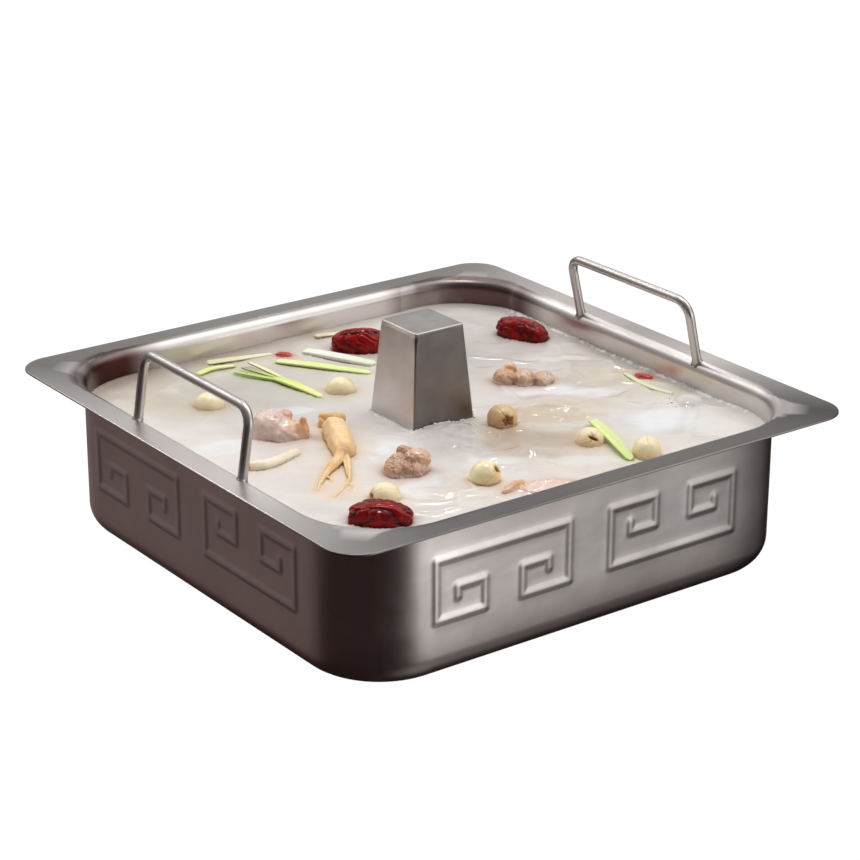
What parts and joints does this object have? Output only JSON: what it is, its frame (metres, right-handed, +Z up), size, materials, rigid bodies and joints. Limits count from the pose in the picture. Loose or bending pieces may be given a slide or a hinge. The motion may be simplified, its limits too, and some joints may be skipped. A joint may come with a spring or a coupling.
{
  "type": "hot pot",
  "caption": "Square stainless hot pot with a closed central chimney and two wire handles, filled with milky chicken broth, red dates, lotus seeds, ginseng and scallion.",
  "frame": {"origin": "middle of the pan's flat underside, on the surface it stands on", "axes": "+Z up; the two handles are on the -X and +X sides; -Y is the wall to the right of the corner that faces the viewer"},
  "size_m": [0.32, 0.32, 0.125],
  "materials": {
    "steel": "satin brushed stainless steel",
    "broth": "milky, glossy liquid",
    "date": "glossy wrinkled skin",
    "lotus_seed": "smooth, wet",
    "chicken_skin": "wet, pimpled skin",
    "chicken_meat": "moist, fibrous",
    "ginseng": "moist root skin",
    "scallion_green": "moist leaf",
    "scallion_pale": "moist stalk",
    "goji": "moist berry"
  },
  "bodies": {
    "root": {"pan": "steel", "handle_left": "steel", "handle_right": "steel", "chimney": "steel", "broth": "broth", "date_front": "date", "date_back_right": "date", "date_back_left": "date", "lotus_seed_1": "lotus_seed", "lotus_seed_2": "lotus_seed", "lotus_seed_3": "lotus_seed", "lotus_seed_4": "lotus_seed", "lotus_seed_5": "lotus_seed", "lotus_seed_6": "lotus_seed", "lotus_seed_7": "lotus_seed", "chicken_skin": "chicken_skin", "chicken_lobed": "chicken_meat", "chicken_back": "chicken_meat", "chicken_front": "chicken_skin", "ginseng_root": "ginseng", "scallion_fan": "scallion_green", "scallion_ribbon": "scallion_green", "scallion_white": "scallion_pale", "scallion_leaf_back": "scallion_green", "scallion_strip_left": "scallion_green", "scallion_strip_wall": "scallion_pale", "scallion_leaf_right": "scallion_green", "scallion_strip_right": "scallion_green", "shallot_stalk": "scallion_pale", "goji_left": "goji", "goji_right": "goji"}
  },
  "joints": []
}
